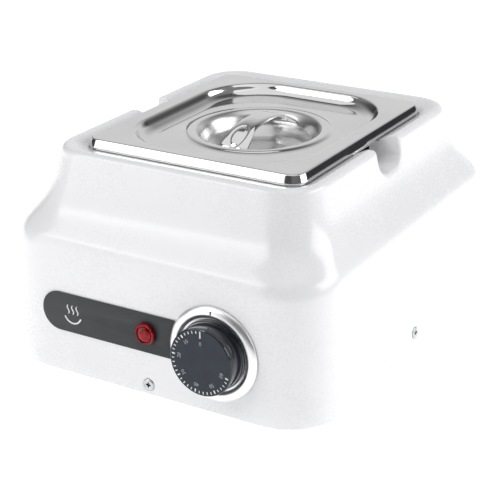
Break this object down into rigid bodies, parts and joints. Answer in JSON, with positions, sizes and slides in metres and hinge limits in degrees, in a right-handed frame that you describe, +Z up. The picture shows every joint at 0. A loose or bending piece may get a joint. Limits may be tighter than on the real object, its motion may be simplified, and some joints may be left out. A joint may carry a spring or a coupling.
{
  "type": "paraffin wax bath",
  "caption": "Electric paraffin wax bath: white moulded casing, thermostat knob in a chrome dish, pilot lamp, lift-out steel pan and loose steel lid with a strap handle.",
  "frame": {"origin": "centre of the overall footprint, on the table under the rubber feet", "axes": "+Z up; the control panel faces -Y; +X is the object's right-hand side seen from in front of the panel"},
  "size_m": [0.245, 0.316, 0.1519],
  "materials": {
    "casing_white": "gloss",
    "stainless_steel": "mirror polished",
    "bezel_chrome": "polished",
    "knob_slate": "satin",
    "label_film": "satin",
    "lens_red": "gloss",
    "well_aluminium": "satin",
    "zinc_steel": "satin",
    "foot_rubber": "matte",
    "silicone_red": "matte",
    "silicone_grey": "matte",
    "insulation_wool": "matte",
    "electrical_cream": "satin",
    "gland_black": "satin",
    "copper_tube": "satin",
    "brass_fitting": "satin",
    "wire_white": "satin",
    "wire_earth_green": "satin"
  },
  "bodies": {
    "casing": {"knob_bezel": "bezel_chrome", "thermostat_body": "electrical_cream", "thermostat_screw_left": "zinc_steel", "thermostat_screw_right": "zinc_steel", "control_label": "label_film", "pilot_lamp_lens": "lens_red", "pilot_lamp_body": "gland_black", "pilot_lamp_nut": "gland_black", "cord_gland": "gland_black", "cord_gland_locknut": "gland_black", "cord_gland_seal": "foot_rubber", "cord_gland_dome_nut": "gland_black", "casing_screw_front": "zinc_steel", "casing_screw_right": "zinc_steel", "casing_screw_rear": "zinc_steel", "casing_screw_left": "zinc_steel", "outer_casing": "casing_white", "base_tray": "zinc_steel", "foot_front_left": "foot_rubber", "foot_screw_front_left": "zinc_steel", "foot_front_right": "foot_rubber", "foot_screw_front_right": "zinc_steel", "foot_rear_left": "foot_rubber", "foot_screw_rear_left": "zinc_steel", "foot_rear_right": "foot_rubber", "foot_screw_rear_right": "zinc_steel", "heater_well": "well_aluminium", "well_gasket": "silicone_grey", "well_screw_front_left": "zinc_steel", "well_screw_front_right": "zinc_steel", "well_screw_rear_left": "zinc_steel", "well_screw_rear_right": "zinc_steel", "heater_mat": "silicone_red", "insulation_pad": "insulation_wool", "heater_clamp_plate": "zinc_steel", "heater_clamp_nut": "zinc_steel", "insulation_wrap": "insulation_wool", "sensor_bulb": "copper_tube", "bulb_clip": "zinc_steel", "thermal_cutout": "gland_black", "terminal_block": "electrical_cream", "terminal_screw_left": "zinc_steel", "terminal_screw_right": "zinc_steel", "earth_stud": "brass_fitting", "earth_nut": "brass_fitting", "sensor_capillary": "copper_tube", "wire_live": "wire_white", "wire_switched": "wire_white", "wire_heater_live": "wire_white", "wire_heater_neutral": "wire_white", "wire_lamp_live": "wire_white", "wire_lamp_neutral": "wire_white", "wire_earth": "wire_earth_green"},
    "knob": {"thermostat_knob": "knob_slate", "thermostat_spindle": "zinc_steel"},
    "pan": {"lift_out_pan": "stainless_steel"},
    "lid": {"lid": "stainless_steel", "lid_handle": "stainless_steel"}
  },
  "joints": [
    {"name": "knob_turn", "type": "hinge", "parent": "casing", "child": "knob", "pos_m": [0.0504, -0.14194, 0.0457], "axis": [0, 0.9995, -0.0325], "range_deg": [0, 250]},
    {"name": "pan_lift", "type": "slide", "parent": "casing", "child": "pan", "axis": [0, 0, 1], "range_m": [0, 0.12]},
    {"name": "lid_lift", "type": "slide", "parent": "pan", "child": "lid", "axis": [0, 0, 1], "range_m": [0, 0.08]}
  ]
}
